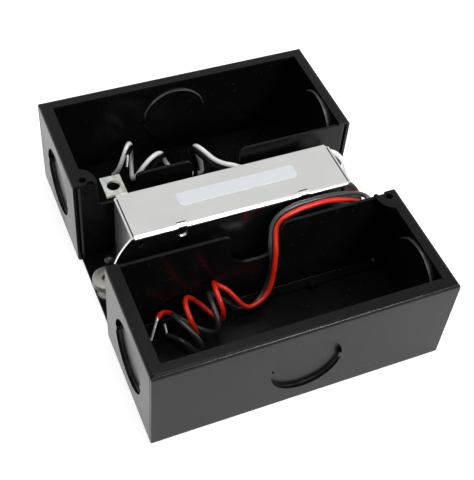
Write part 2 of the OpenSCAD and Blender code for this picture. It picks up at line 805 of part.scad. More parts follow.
module transformer_core() color([0.22, 0.22, 0.24]) {
    window = [(core_size.x - core_leg) / 2 - core_yoke, core_size.y - 2 * core_yoke];
    on_board(core_place.x, core_place.y) translate([0, 0, core_stand]) difference() {
        translate([-core_size.x / 2, -core_size.y / 2, 0]) cube(core_size);
        for (side = [-1, 1])
            translate([side * (core_leg + window.x) / 2, 0, core_size.z / 2])
                cube([window.x, window.y, core_size.z + 2 * cut], center = true);
    }
}

module transformer_winding() color([0.75, 0.6, 0.2]) {
    fit = 0.2;
    bobbin = [core_leg + 2 * ((core_size.x - core_leg) / 2 - core_yoke - fit),
              core_size.y - 2 * core_yoke - 2 * fit];
    corner = 1.2;
    on_board(core_place.x, core_place.y) difference() {
        linear_extrude(core_size.z + 2 * core_stand)
            translate(-bobbin / 2) rounded_rectangle(bobbin, corner);
        translate([-core_leg / 2 - fit, -core_size.y / 2, core_stand - fit])
            cube([core_leg + 2 * fit, core_size.y, core_size.z + 2 * fit]);
    }
}

module input_choke() color([0.55, 0.3, 0.15]) {
    on_board(choke_place.x, choke_place.y) translate([0, 0, choke_section])
        rotate_extrude() translate([choke_ring, 0]) circle(choke_section);
}

module film_capacitor() color([0.75, 0.15, 0.12]) {
    corner = 1;
    on_board(film_place.x, film_place.y) linear_extrude(film_height)
        translate(-film_size / 2) rounded_rectangle(film_size, corner);
}

module bulk_capacitors() color([0.12, 0.14, 0.3]) {
    groove = 0.5;
    groove_level = 1.6;
    for (place = bulk_places) on_board(place.x, place.y) rotate_extrude() difference() {
        square([bulk_radius, bulk_height]);
        translate([bulk_radius, groove_level]) circle(groove);
        translate([bulk_radius - groove, bulk_height - groove]) square(2 * groove);
    }
}

// Transistor packages that stand on the board, with their tabs against the heat spreader
transistor_places = [21, 33];
transistor_body = [10, 4.4, 9];
transistor_tab = [10, 1.2, 14];
transistor_level = 10;
spreader_size = [26, 2, 15];

module switching_transistors() color([0.12, 0.12, 0.13]) {
    tab_hole = 3.6;
    for (x = transistor_places) on_board(x, transistor_level) difference() {
        union() {
            translate([-transistor_body.x / 2, -transistor_body.y, 0]) cube(transistor_body);
            translate([-transistor_tab.x / 2, -transistor_tab.y, 0]) cube(transistor_tab);
        }
        translate([0, cut, transistor_tab.z - tab_hole]) rotate([90, 0, 0])
            cylinder(h = transistor_tab.y + 2 * cut, d = tab_hole);
    }
}

module heat_spreader() color([0.75, 0.76, 0.78]) {
    middle = (transistor_places[0] + transistor_places[1]) / 2;
    on_board(middle, transistor_level) translate([-spreader_size.x / 2, 0, 0]) cube(spreader_size);
}

module output_inductor() color([0.25, 0.25, 0.27]) {
    groove = 1;
    on_board(inductor_place.x, inductor_place.y) rotate_extrude() difference() {
        square([inductor_radius, inductor_height]);
        translate([inductor_radius - groove, inductor_rim])
            square([2 * groove, inductor_height - 2 * inductor_rim]);
    }
}

module rectifier_diodes() color([0.1, 0.1, 0.1]) {
    for (place = diode_places) on_board(place.x, place.y) translate([-diode_size.y / 2, 0, diode_size.x / 2])
        rotate([0, 90, 0]) cylinder(h = diode_size.y, d = diode_size.x);
}

module input_fuse() color([0.8, 0.8, 0.75]) {
    start = [-fuse_size.y / 2, 0, fuse_cap.x / 2];
    on_board(fuse_place.x, fuse_place.y) translate(start) rotate([0, 90, 0]) {
        cylinder(h = fuse_size.y, d = fuse_size.x);
        for (x = [0, fuse_size.y - fuse_cap.y])
            translate([0, 0, x]) cylinder(h = fuse_cap.y, d = fuse_cap.x);
    }
}

enclosure_pan();
line_side_partition();
load_side_partition();
driver_channel();
driver_tray();
blank_label();
ground_lug();
ground_lug_rivet();
foot_studs();
thumb_nuts();
locating_stud();
line_lead_bushing();
load_lead_bushing();
white_line_lead();
black_line_lead();
line_lead_coil();
line_lead_tips();
red_load_lead();
black_load_lead();
load_lead_coil();
load_lead_tips();
insulation_sheet();
board_spacers();
circuit_board();
transformer_core();
transformer_winding();
input_choke();
film_capacitor();
bulk_capacitors();
switching_transistors();
heat_spreader();
output_inductor();
rectifier_diodes();
input_fuse();
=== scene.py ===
"""Looks of an LED driver in a folded steel enclosure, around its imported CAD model.

Sizes are in millimetres in the points of the leads and where a name ends in _mm, and in metres elsewhere.
"""

import math

import bmesh
import bpy
from bpy.props import FloatProperty, FloatVectorProperty, IntProperty, PointerProperty
from mathutils import Matrix, Vector


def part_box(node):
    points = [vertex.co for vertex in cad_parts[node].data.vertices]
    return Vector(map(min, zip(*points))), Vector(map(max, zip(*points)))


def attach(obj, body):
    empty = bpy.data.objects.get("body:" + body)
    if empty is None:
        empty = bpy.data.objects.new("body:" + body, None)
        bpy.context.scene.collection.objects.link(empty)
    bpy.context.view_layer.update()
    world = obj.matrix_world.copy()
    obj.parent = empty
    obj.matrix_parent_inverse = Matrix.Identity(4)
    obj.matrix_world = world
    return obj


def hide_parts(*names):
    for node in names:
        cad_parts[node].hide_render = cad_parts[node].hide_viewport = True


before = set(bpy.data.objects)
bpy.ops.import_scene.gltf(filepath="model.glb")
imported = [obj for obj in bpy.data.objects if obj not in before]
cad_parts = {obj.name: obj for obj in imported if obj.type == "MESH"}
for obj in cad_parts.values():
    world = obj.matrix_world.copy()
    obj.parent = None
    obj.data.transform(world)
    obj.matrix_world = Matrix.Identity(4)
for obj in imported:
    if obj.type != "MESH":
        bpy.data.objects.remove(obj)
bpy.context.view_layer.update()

bl_info = {
    "name": "LED driver looks",
    "version": (1, 0, 0),
    "blender": (4, 5, 0),
    "location": "3D View > Sidebar > LED driver",
    "description": "Leads, finishes and stage of an LED driver in a folded steel enclosure",
    "category": "Object",
}

MM = 0.001

# Right end of the driver where the leads come out, and half of the channel between the compartments
BUSHING_FACE_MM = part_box("line_lead_bushing")[1].x / MM
HALF_CHANNEL_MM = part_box("line_side_partition")[0].y / MM


def by_driver(points):
    """Points of a lead round the driver's right end, from the bushing's face."""
    return [(x + BUSHING_FACE_MM, y, z) for x, y, z in points]


def by_partition(side, points):
    """Points of a lead beside a partition, from the channel's edge on that side."""
    return [(x, y + side * HALF_CHANNEL_MM, z) for x, y, z in points]


# Half of the pan's width and length, height of the knock-outs' middles, and place of the side walls' ones
HALF_WIDTH_MM = 59
HALF_LENGTH_MM = 70
KNOCKOUT_LEVEL_MM = 21.75
SIDE_KNOCKOUT_MM = 45

# Sections of the two rings that close a knock-out's slit: radius, and depth from the wall's outer face
# The first ring is a dark ring of the black coat put in the open slit as painted shade; the second is the
# bare sheared edge.
SLIT_SHADE_SECTION_MM = ((14.1, 0.9), (13.6, 1.8), (13.6, 2.1), (14.1, 1.15))
SHEARED_EDGE_SECTION_MM = ((14.05, 1.1), (13.65, 2.05), (13.65, 2.2), (14.05, 1.25))

# Free stretch of each lead, from its bushing to where its coil starts
WHITE_ROUTE_MM = (
    by_driver([
        (0, 2, 24.5), (2.6, 2, 24.5), (5, 1.2, 26), (5.6, -0.4, 29.4), (4.4, -1.8, 33),
        (2.9, -1.9, 36.2), (2.7, 0.6, 38.9), (2.7, 5, 39.6), (1.3, 10, 39), (-2.4, 13.6, 37.2),
        (-9, 15.8, 35.6), (-17, 16, 34.8),
    ])
    + by_partition(1, [
        (19, -4, 34.6), (13, -3.8, 35), (9, -3.2, 35.8), (6.4, -1.8, 36.4), (3.9, 0.6, 35.7),
        (1.7, 6, 33.6), (0.7, 12.2, 31.6), (-0.3, 17, 30.4), (-0.7, 20.8, 28.2), (-0.1, 23, 24.8),
        (1.2, 23.6, 21), (2.7, 23.9, 16.5), (3.6, 23.6, 12.4), (3.4, 23.2, 8.9),
    ])
    + [(-2.16, 47.02, 6.2), (-4, 47.8, 6.2)]
)
BLACK_LINE_ROUTE_MM = (
    by_driver([
        (0, 5, 24.5), (2.6, 5, 24.5), (5.2, 6.4, 24.8), (6.4, 9.6, 25.6), (4.8, 13, 26.6),
        (0.6, 15.2, 27.6), (-6.6, 16, 29), (-15, 16, 30.2),
    ])
    + by_partition(1, [
        (18, -4.1, 31.2), (11, -4, 32.4), (5.6, -3.2, 33.6), (2.2, -1, 34.4), (0, 1.2, 34),
        (-0.9, 7, 32.4), (-1.8, 14, 30.4), (-2.9, 19, 29.1), (-3.3, 21.9, 27.5), (-2.5, 24, 24.8),
        (-1.2, 24.5, 21.4), (0.4, 24.2, 15.7), (0.8, 23.2, 11), (0.6, 22.6, 8.4), (-0.8, 23, 5.6),
    ])
    + [(-3.41, 44.07, 4.4), (-5.25, 44.85, 4.4)]
)
RED_ROUTE_MM = (
    by_driver([
        (0, -5, 15.4), (2.6, -5, 15.4), (5.6, -5.8, 16.8), (7.6, -8, 20), (8.2, -11, 24.2),
        (7, -13.6, 28.8), (4.2, -15.3, 33), (-0.6, -15.8, 36.8), (-6.8, -15.8, 39.9),
    ])
    + by_partition(-1, [
        (31.6, 4.2, 41.7), (24, 4, 41.9), (17.6, 3.6, 41.4), (12.6, 2.9, 40), (9.5, 1.7, 37.4),
        (8.5, -0.3, 33.8), (7.8, -3.1, 29.5), (7.1, -5, 23.6), (6.7, -5.6, 17.3),
        (5.6, -6.8, 12), (2.6, -8.4, 8.6),
    ])
    + [(-2.08, -29.74, 7.3), (-4.08, -29.9, 7.3)]
)
BLACK_LOAD_ROUTE_MM = (
    by_driver([
        (0, -2, 15.4), (2.6, -2, 15.4), (5.8, -2.8, 17), (8.2, -5, 20.6), (9.2, -8, 25.2),
        (8.8, -11, 29.8), (6.2, -12.9, 34.2), (1.6, -13.4, 38), (-4.6, -13.7, 40.6),
    ])
    + by_partition(-1, [
        (32, 6.2, 42), (24, 6.1, 42.2), (17.6, 5.8, 41.8), (12.4, 5.1, 40.3), (8.6, 3.6, 37.2),
        (7.3, 1.5, 33.6), (6.4, -1.4, 28.8), (6.5, -2.35, 26), (7, -2.45, 20), (7, -2.6, 14),
        (5.6, -3.6, 9), (2.6, -5.4, 5.2),
    ])
    + [(-2.26, -27.55, 3.9), (-4.25, -27.71, 3.9)]
)


COIL_START_ANGLE = math.radians(40)


def coil_turns(start, step, wide, tall, lean, sway, turns, per_turn=14):
    """Points of a loose coil whose turns lean over, each pair a value and its growth over a turn."""
    first, last = turns
    count = round((last - first) * per_turn)
    points = []
    for i in range(count + 1):
        t = first + (last - first) * i / count
        around = math.tau * t
        rise = COIL_START_ANGLE + around
        lean_now, sway_now, wide_now, tall_now = (
            value + growth * t for value, growth in (lean, sway, wide, tall))
        points.append((
            start[0] + step[0] * t + lean_now * math.cos(around) + sway_now * math.sin(around),
            start[1] + step[1] * t + wide_now * math.cos(rise),
            start[2] + step[2] * t + tall_now * math.sin(rise),
        ))
    return points


# Coiled stretch of each lead, up to the end of its insulation
WHITE_COIL_MM = (
    [(-6.6, 50.1, 5.8), (-8.6, 52.6, 8.3)]
    + coil_turns(
        start=(-16.2, 50.5, 11.2), step=(-9, 8.5, -1.2), wide=(4.4, 1.6), tall=(5.4, 1.8),
        lean=(5.1, -2.1), sway=(-1.5, 1.5), turns=(-0.1, 1.5))
)
BLACK_LINE_COIL_MM = (
    [(-7.2, 46.6, 4.4), (-7.1, 50.6, 3.6), (-5.6, 53.6, 6.6)]
    + coil_turns(
        start=(-13.1, 49.2, 9.7), step=(-11.4, 6.7, 1.2), wide=(5.4, 1), tall=(6.4, 0.3),
        lean=(5, -1.9), sway=(-1.2, 0.9), turns=(-0.1, 1.2))
)
RED_COIL_MM = (
    [(-6.4, -29.3, 8.4), (-8.8, -27.2, 11), (-12, -24, 14.6)]
    + coil_turns(
        start=(-14.9, -28.3, 16.1), step=(-11.1, -1.3, -2.7), wide=(6.1, 0.2), tall=(7.2, -0.6),
        lean=(-2.7, -0.3), sway=(-0.5, -1.4), turns=(-0.08, 1.83))
    + [(-36.7, -24.5, 11.5), (-39.4, -25.6, 13.3), (-41.7, -27.7, 14.1)]
)
BLACK_LOAD_COIL_MM = (
    [(-8.2, -27.2, 4.7), (-11.9, -25.7, 8.3)]
    + coil_turns(
        start=(-19.9, -31.8, 15.8), step=(-11.7, -3.7, -2.7), wide=(6.6, 0.5), tall=(4.6, 0.7),
        lean=(-0.7, -3.8), sway=(0.9, 1.5), turns=(-0.08, 1.5))
    + [(-32.8, -36.7, 4.9), (-34.9, -33.4, 4.7), (-38, -28.8, 2.9)]
)

# Cut end of each lead's bare conductor
WHITE_TIP_MM = (-29.6, 60.6, 2.3)
BLACK_LINE_TIP_MM = (-27.6, 51.4, 14.2)
RED_TIP_MM = (-46.1, -33.1, 9)
BLACK_LOAD_TIP_MM = (-37.9, -25.2, 5.5)

# Finish of each moulded kind of piece on the board: colour, least roughness, grains a metre, and pieces
CIRCUIT_FINISHES = {
    "insulation_film": ((0.62, 0.55, 0.36), 0.3, 600, ["insulation_sheet"]),
    "spacer_plastic": ((0.8, 0.8, 0.76), 0.4, 700, ["board_spacers"]),
    "board": ((0.03, 0.16, 0.06), 0.3, 500, ["circuit_board"]),
    "ferrite": ((0.05, 0.05, 0.055), 0.5, 700, ["transformer_core", "output_inductor"]),
    "winding_tape": ((0.6, 0.4, 0.05), 0.3, 500, ["transformer_winding", "input_choke"]),
    "component_sleeve": ((0.03, 0.04, 0.12), 0.28, 500, ["bulk_capacitors"]),
    "capacitor_box": ((0.5, 0.05, 0.03), 0.35, 500, ["film_capacitor"]),
    "component_plastic": ((0.025, 0.025, 0.027), 0.42, 700, ["switching_transistors", "rectifier_diodes"]),
    "fuse_body": ((0.65, 0.62, 0.55), 0.3, 600, ["input_fuse"]),
}

WHITE = (1, 1, 1)
BLACK = (0, 0, 0)

# Span that most of a noise's values lie in
NOISE_MIDDLE = (0.3, 0.7)

# Edges that turn more than this stay sharp
SHARP_ANGLE = math.radians(35)


class LeadSettings(bpy.types.PropertyGroup):
    """Sizes and colours of the four leads."""

    diameter: FloatProperty(
        name="Lead diameter", description="Outer diameter of a lead's insulation",
        default=0.002, unit="LENGTH", precision=4)
    conductor: FloatProperty(
        name="Conductor diameter", description="Diameter of the bare conductor at a lead's end",
        default=0.001, unit="LENGTH", precision=4)
    strands: IntProperty(
        name="Outer strands", description="Strands twisted round the middle strand of a conductor", default=6)
    white: FloatVectorProperty(
        name="White", description="Colour of the white line lead",
        default=(0.95, 0.95, 0.94), subtype="COLOR", size=3)
    black: FloatVectorProperty(
        name="Black", description="Colour of the two black leads",
        default=(0.0035, 0.0035, 0.004), subtype="COLOR", size=3)
    red: FloatVectorProperty(
        name="Red", description="Colour of the red load lead",
        default=(0.63, 0.021, 0.008), subtype="COLOR", size=3)


class FinishSettings(bpy.types.PropertyGroup):
    """Colours of the enclosure, the driver and the fittings."""

    coat: FloatVectorProperty(
        name="Powder coat", description="Colour of the enclosure's black powder coat",
        default=(0.003, 0.003, 0.0034), subtype="COLOR", size=3)
    case: FloatVectorProperty(
        name="Driver case", description="Colour of the driver case's satin sheet",
        default=(0.84, 0.84, 0.83), subtype="COLOR", size=3)
    label: FloatVectorProperty(
        name="Label", description="Colour of the bare label",
        default=(0.61, 0.638, 0.667), subtype="COLOR", size=3)
    zinc: FloatVectorProperty(
        name="Zinc plate", description="Colour of the ground lug's zinc plate",
        default=(0.52, 0.536, 0.495), subtype="COLOR", size=3)
    nickel: FloatVectorProperty(
        name="Nickel plate", description="Colour of the thumb nuts' plate",
        default=(0.31, 0.305, 0.283), subtype="COLOR", size=3)
    tin: FloatVectorProperty(
        name="Tinned copper", description="Colour of the tinned conductors",
        default=(0.74, 0.7, 0.64), subtype="COLOR", size=3)


class NutSettings(bpy.types.PropertyGroup):
    """Sizes of the knurled thumb nuts and the studs that they run on."""

    knurls: IntProperty(name="Knurls", description="Number of ridges round a nut's head", default=54)
    ridge: FloatProperty(
        name="Ridge", description="Depth of the grooves between two ridges",
        default=0.0007, unit="LENGTH", precision=4)
    head: FloatProperty(
        name="Head", description="Height of a nut's knurled head",
        default=0.0035, unit="LENGTH", precision=4)
    collar: FloatProperty(
        name="Collar", description="Diameter of the collar under the head",
        default=0.0075, unit="LENGTH", precision=4)
    bore: FloatProperty(
        name="Bore", description="Diameter of a nut's bore",
        default=0.0041, unit="LENGTH", precision=4)
    pitch: FloatProperty(
        name="Pitch", description="Pitch of the stud's thread",
        default=0.0007, unit="LENGTH", precision=4)


class StageSettings(bpy.types.PropertyGroup):
    """View, floor and light."""

    eye: FloatVectorProperty(
        name="Eye", description="Place of the camera",
        default=(-0.116435, -0.232624, 0.319667), subtype="TRANSLATION", size=3)
    aim: FloatVectorProperty(
        name="Aim", description="Direction in which the camera looks",
        default=(0.294456, 0.576078, -0.762515), subtype="DIRECTION", size=3)
    right: FloatVectorProperty(
        name="Right", description="Direction that is to the right in the picture",
        default=(0.922421, -0.379944, 0.069159), subtype="DIRECTION", size=3)
    focal: FloatProperty(
        name="Focal length", description="Focal length in pixels of the picture", default=989.04)
    picture: IntProperty(
        name="Picture", description="Longer side of the picture in pixels", default=480)
    floor: FloatVectorProperty(
        name="Floor", description="Colour of the floor",
        default=(0.86, 0.86, 0.86), subtype="COLOR", size=3)
    room: FloatProperty(
        name="Room light", description="Strength of the light that the white room gives", default=0.5)
    ceiling: FloatProperty(
        name="Ceiling", description="Share of the room's light that is left straight overhead", default=0.62)
    softbox: FloatProperty(
        name="Softbox", description="Power of the large lamp overhead", default=5.5, unit="POWER")
    fill: FloatProperty(
        name="Fill", description="Power of the lamp at the side", default=1.2, unit="POWER")
    front: FloatProperty(
        name="Front light", description="Power of the small lamp before the object",
        default=4.0, unit="POWER")


def start_finish(name):
    """New material, its node tree, its shader, and its place in metres in the object's frame."""
    material = bpy.data.materials.new(name)
    material.use_nodes = True
    tree = material.node_tree
    shader = tree.nodes["Principled BSDF"]
    place = tree.nodes.new("ShaderNodeTexCoord").outputs["Object"]
    return material, tree, shader, place


def stretched(tree, place, scale):
    """The place with each axis scaled, so that a grain on it runs one way."""
    mapping = tree.nodes.new("ShaderNodeMapping")
    mapping.inputs["Scale"].default_value = scale
    tree.links.new(place, mapping.inputs["Vector"])
    return mapping.outputs["Vector"]


def noise(tree, place, cells, detail):
    """Soft noise from 0 to 1 with this many cells a metre."""
    texture = tree.nodes.new("ShaderNodeTexNoise")
    texture.inputs["Scale"].default_value = cells
    texture.inputs["Detail"].default_value = detail
    tree.links.new(place, texture.inputs["Vector"])
    return texture.outputs["Fac"]


def ramp(tree, factor, between, colours):
    """Colour that goes from the first to the second as the factor crosses a span."""
    node = tree.nodes.new("ShaderNodeValToRGB")
    stops = node.color_ramp.elements
    for k in range(2):
        stops[k].position = between[k]
        stops[k].color = (*colours[k], 1)
    tree.links.new(factor, node.inputs["Fac"])
    return node.outputs["Color"]


def combine(tree, operation, first, second):
    """Number that a math node makes of two others."""
    node = tree.nodes.new("ShaderNodeMath")
    node.operation = operation
    tree.links.new(first, node.inputs[0])
    tree.links.new(second, node.inputs[1])
    return node.outputs[0]


def shade(colour, by):
    """A colour made darker or lighter by a factor."""
    return tuple(min(1.0, channel * by) for channel in colour)


def mottle(tree, shader, factor, colour, darkest, lightest, between=NOISE_MIDDLE):
    """Base colour that goes from a darker to a lighter shade as the factor crosses a span."""
    shades = (shade(colour, darkest), shade(colour, lightest))
    tree.links.new(ramp(tree, factor, between, shades), shader.inputs["Base Color"])


def roughen(tree, shader, factor, low, high):
    """Roughness that goes from low to high over the middle of a noise's range."""
    node = tree.nodes.new("ShaderNodeMapRange")
    node.inputs["From Min"].default_value = NOISE_MIDDLE[0]
    node.inputs["From Max"].default_value = NOISE_MIDDLE[1]
    node.inputs["To Min"].default_value = low
    node.inputs["To Max"].default_value = high
    tree.links.new(factor, node.inputs["Value"])
    tree.links.new(node.outputs["Result"], shader.inputs["Roughness"])


def bump(tree, shader, height, depth, strength):
    """Small relief on the shader, depth in metres."""
    node = tree.nodes.new("ShaderNodeBump")
    node.inputs["Strength"].default_value = strength
    node.inputs["Distance"].default_value = depth
    tree.links.new(height, node.inputs["Height"])
    tree.links.new(node.outputs["Normal"], shader.inputs["Normal"])


def powder_coat(name, colour, smooth):
    """Black powder coat: fine orange peel, and pale flecks here and there."""
    material, tree, shader, place = start_finish(name)
    shader.inputs["IOR"].default_value = 1.26
    fleck_colour = (0.03, 0.03, 0.032)
    clouds = noise(tree, place, cells=55, detail=4)
    mottled = ramp(tree, clouds, (0.35, 0.65), (shade(colour, 0.8), shade(colour, 1.3)))
    flecks = tree.nodes.new("ShaderNodeTexVoronoi")
    flecks.inputs["Scale"].default_value = 620
    tree.links.new(place, flecks.inputs["Vector"])
    fleck_middles = ramp(tree, flecks.outputs["Distance"], (0.1, 0.2), (WHITE, BLACK))
    fleck_areas = ramp(tree, noise(tree, place, cells=260, detail=1), (0.56, 0.62), (BLACK, WHITE))
    mix = tree.nodes.new("ShaderNodeMix")
    mix.data_type = "RGBA"
    mix.inputs["B"].default_value = (*fleck_colour, 1)
    tree.links.new(combine(tree, "MULTIPLY", fleck_middles, fleck_areas), mix.inputs["Factor"])
    tree.links.new(mottled, mix.inputs["A"])
    tree.links.new(mix.outputs["Result"], shader.inputs["Base Color"])
    roughen(tree, shader, noise(tree, place, cells=40, detail=3), smooth, smooth + 0.08)
    bump(tree, shader, noise(tree, place, cells=1500, detail=3), depth=0.00014, strength=0.35)
    return material


def satin_sheet(name, colour, smooth, grain):
    """Bare satin sheet metal with a rolling grain along the strip."""
    material, tree, shader, place = start_finish(name)
    shader.inputs["Metallic"].default_value = 1.0
    lines = noise(tree, stretched(tree, place, (30, 900, 900)), cells=1, detail=3)
    clouds = noise(tree, place, cells=45, detail=3)
    mottle(tree, shader, clouds, colour, darkest=0.95, lightest=1.03)
    roughen(tree, shader, lines, smooth, smooth + grain)
    bump(tree, shader, lines, depth=0.00004, strength=0.15)
    return material


def plated(name, colour, smooth, depth, darkest):
    """Plated metal with a faintly uneven, crystalline surface."""
    material, tree, shader, place = start_finish(name)
    shader.inputs["Metallic"].default_value = 1.0
    grain = noise(tree, place, cells=480, detail=4)
    crystals = noise(tree, place, cells=300, detail=6)
    mottle(tree, shader, crystals, colour, darkest, lightest=1.08, between=(0.32, 0.6))
    roughen(tree, shader, grain, smooth, smooth + 0.18)
    bump(tree, shader, grain, depth, strength=0.3)
    return material


def insulation(name, colour, smooth, shine):
    """Extruded lead insulation: smooth and a little waxy, with faint scuffs."""
    material, tree, shader, place = start_finish(name)
    shader.inputs["Specular IOR Level"].default_value = shine
    shader.inputs["Subsurface Weight"].default_value = 0.08
    shader.inputs["Subsurface Radius"].default_value = (0.0006, 0.0004, 0.0004)
    scuffs = noise(tree, place, cells=330, detail=4)
    mottle(tree, shader, scuffs, colour, darkest=0.9, lightest=1.06, between=(0.25, 0.75))
    roughen(tree, shader, noise(tree, place, cells=190, detail=3), smooth, smooth + 0.06)
    bump(tree, shader, noise(tree, place, cells=500, detail=2), depth=0.00003, strength=0.1)
    return material


def moulded(name, colour, smooth, grain):
    """Moulded plastic, ceramic or board with a fine matt texture."""
    material, tree, shader, place = start_finish(name)
    clouds = noise(tree, place, cells=150, detail=4)
    mottle(tree, shader, clouds, colour, darkest=0.85, lightest=1.12)
    roughen(tree, shader, noise(tree, place, cells=320, detail=2), smooth, smooth + 0.15)
    bump(tree, shader, noise(tree, place, cells=grain, detail=2), depth=0.00005, strength=0.2)
    return material


def paper(name, colour):
    """Coated label paper: faint fibres and a low sheen."""
    material, tree, shader, place = start_finish(name)
    fibres = noise(tree, stretched(tree, place, (500, 1400, 1000)), cells=1, detail=4)
    mottle(tree, shader, fibres, colour, darkest=0.97, lightest=1.02)
    roughen(tree, shader, noise(tree, place, cells=240, detail=2), low=0.34, high=0.42)
    bump(tree, shader, fibres, depth=0.00003, strength=0.2)
    return material


def dress(material, *nodes):
    """Gives CAD nodes a material in place of their plain colour."""
    for name in nodes:
        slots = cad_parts[name].data.materials
        slots.clear()
        slots.append(material)


def add_mesh(name, build, material):
    """New smooth-shaded piece from a function that fills a bmesh, hung on the root body."""
    mesh = bpy.data.meshes.new(name)
    shape = bmesh.new()
    build(shape)
    bmesh.ops.recalc_face_normals(shape, faces=shape.faces)
    shape.to_mesh(mesh)
    shape.free()
    mesh.materials.append(material)
    piece = bpy.data.objects.new(name, mesh)
    bpy.context.scene.collection.objects.link(piece)
    for face in mesh.polygons:
        face.use_smooth = True
    mesh.set_sharp_from_angle(angle=SHARP_ANGLE)
    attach(piece, "root")
    return piece


def bridge_rings(shape, rings):
    """Skin between each ring and the next, round a closed way."""
    for low, high in zip(rings, rings[1:]):
        count = len(low)
        for k in range(count):
            shape.faces.new((low[k], low[(k + 1) % count], high[(k + 1) % count], high[k]))


def cap_ends(shape, rings):
    """Flat faces over the first and the last ring."""
    shape.faces.new(list(reversed(rings[0])))
    shape.faces.new(rings[-1])


def sweep(shape, points, radius, sides=8):
    """Closed round bar along a row of points."""
    rings = []
    axis = None
    for i, point in enumerate(points):
        ahead = points[min(i + 1, len(points) - 1)]
        behind = points[max(i - 1, 0)]
        way = (ahead - behind).normalized()
        if axis is None:
            axis = way.orthogonal().normalized()
        axis = (axis - axis.dot(way) * way).normalized()
        other = way.cross(axis)
        ring = []
        for k in range(sides):
            turn = math.tau * k / sides
            around = math.cos(turn) * axis + math.sin(turn) * other
            ring.append(shape.verts.new(point + radius * around))
        rings.append(ring)
    bridge_rings(shape, rings)
    cap_ends(shape, rings)


def twisted_conductor(shape, start, end, diameter, outer, turns=0.7, steps=14):
    """Middle strand with outer strands twisted round it, from the insulation to the cut end."""
    # Three strands lie side by side across the conductor
    strand_radius = diameter / 6
    reach = end - start
    way = reach.normalized()
    side = way.orthogonal().normalized()
    other = way.cross(side)
    middle = [start + reach * i / steps for i in range(steps + 1)]
    sweep(shape, middle, strand_radius)
    for k in range(outer):
        points = []
        for i, point in enumerate(middle):
            turn = math.tau * k / outer + math.tau * turns * i / steps
            points.append(point + 2 * strand_radius * (math.cos(turn) * side + math.sin(turn) * other))
        sweep(shape, points, strand_radius)


def add_lead(name, route_mm, coil_mm, tip_mm, material):
    """A lead along its route and coil, with its bare end."""
    settings = bpy.context.scene.led_driver_leads
    data = bpy.data.curves.new(name, "CURVE")
    data.dimensions = "3D"
    data.bevel_depth = settings.diameter / 2
    data.bevel_resolution = 4
    data.resolution_u = 6
    data.use_fill_caps = True
    line = data.splines.new("BEZIER")
    points = [Vector(p) * MM for p in route_mm + coil_mm]
    line.bezier_points.add(len(points) - 1)
    for knot, point in zip(line.bezier_points, points):
        knot.co = point
        knot.handle_left_type = "AUTO"
        knot.handle_right_type = "AUTO"
    data.materials.append(material)
    lead = bpy.data.objects.new(name, data)
    bpy.context.scene.collection.objects.link(lead)
    bpy.context.view_layer.update()
    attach(lead, "root")
    tinned = bpy.data.materials.get("tinned_copper")
    if tinned is None:
        colour = bpy.context.scene.led_driver_finishes.tin
        tinned = plated("tinned_copper", colour, smooth=0.28, depth=0.00004, darkest=0.8)
    end = Vector(tip_mm) * MM
    start = points[-1] - (end - points[-1]).normalized() * settings.diameter / 2

    def build(shape):
        twisted_conductor(shape, start, end, settings.conductor, settings.strands)

    tip = add_mesh(name + "_tip", build, tinned)
    return lead, tip


class LEDDRIVER_OT_line_leads(bpy.types.Operator):
    """Make the white and the black line lead, with their coil and bare ends"""

    bl_idname = "leddriver.line_leads"
    bl_label = "Line leads"

    def execute(self, context):
        settings = context.scene.led_driver_leads
        white = insulation("white_insulation", settings.white, smooth=0.3, shine=0.5)
        black = insulation("black_insulation", settings.black, smooth=0.06, shine=0.03)
        first, first_tip = add_lead(
            "white_line_cord", WHITE_ROUTE_MM, WHITE_COIL_MM, WHITE_TIP_MM, white)
        second, _ = add_lead(
            "black_line_cord", BLACK_LINE_ROUTE_MM, BLACK_LINE_COIL_MM, BLACK_LINE_TIP_MM,
            black)
        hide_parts("white_line_lead", "line_lead_coil")
        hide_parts("black_line_lead")
        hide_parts("line_lead_tips")
        return {"FINISHED"}


class LEDDRIVER_OT_load_leads(bpy.types.Operator):
    """Make the red and the black load lead, with their coil and bare ends"""

    bl_idname = "leddriver.load_leads"
    bl_label = "Load leads"

    def execute(self, context):
        settings = context.scene.led_driver_leads
        red = insulation("red_insulation", settings.red, smooth=0.2, shine=0.35)
        black = bpy.data.materials["black_insulation"]
        first, first_tip = add_lead(
            "red_load_cord", RED_ROUTE_MM, RED_COIL_MM, RED_TIP_MM, red)
        second, _ = add_lead(
            "black_load_cord", BLACK_LOAD_ROUTE_MM, BLACK_LOAD_COIL_MM, BLACK_LOAD_TIP_MM,
            black)
        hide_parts("red_load_lead", "load_lead_coil")
        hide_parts("black_load_lead")
        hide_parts("load_lead_tips")
        return {"FINISHED"}


def knockouts():
    """Middle of each knock-out on its wall's outer face, and the way into the enclosure."""
    places = []
    for side in (-1, 1):
        places.append(((0, side * HALF_LENGTH_MM, KNOCKOUT_LEVEL_MM), (0, -side, 0)))
        for end in (1, -1):
            place = (end * HALF_WIDTH_MM, side * SIDE_KNOCKOUT_MM, KNOCKOUT_LEVEL_MM)
            places.append((place, (-end, 0, 0)))
    return [(Vector(place) * MM, Vector(inward)) for place, inward in places]


def slit_rings(shape, section_mm, steps=96):
    """Ring in the slit round each knock-out, its section given by radius and depth in the wall."""
    upright = Vector((0, 0, 1))
    for middle, inward in knockouts():
        across = inward.cross(upright)
        rings = []
        for radius_mm, depth_mm in section_mm:
            ring = []
            for k in range(steps):
                turn = math.tau * k / steps
                around = math.cos(turn) * across + math.sin(turn) * upright
                ring.append(shape.verts.new(middle + radius_mm * MM * around + depth_mm * MM * inward))
            rings.append(ring)
        bridge_rings(shape, rings + rings[:1])


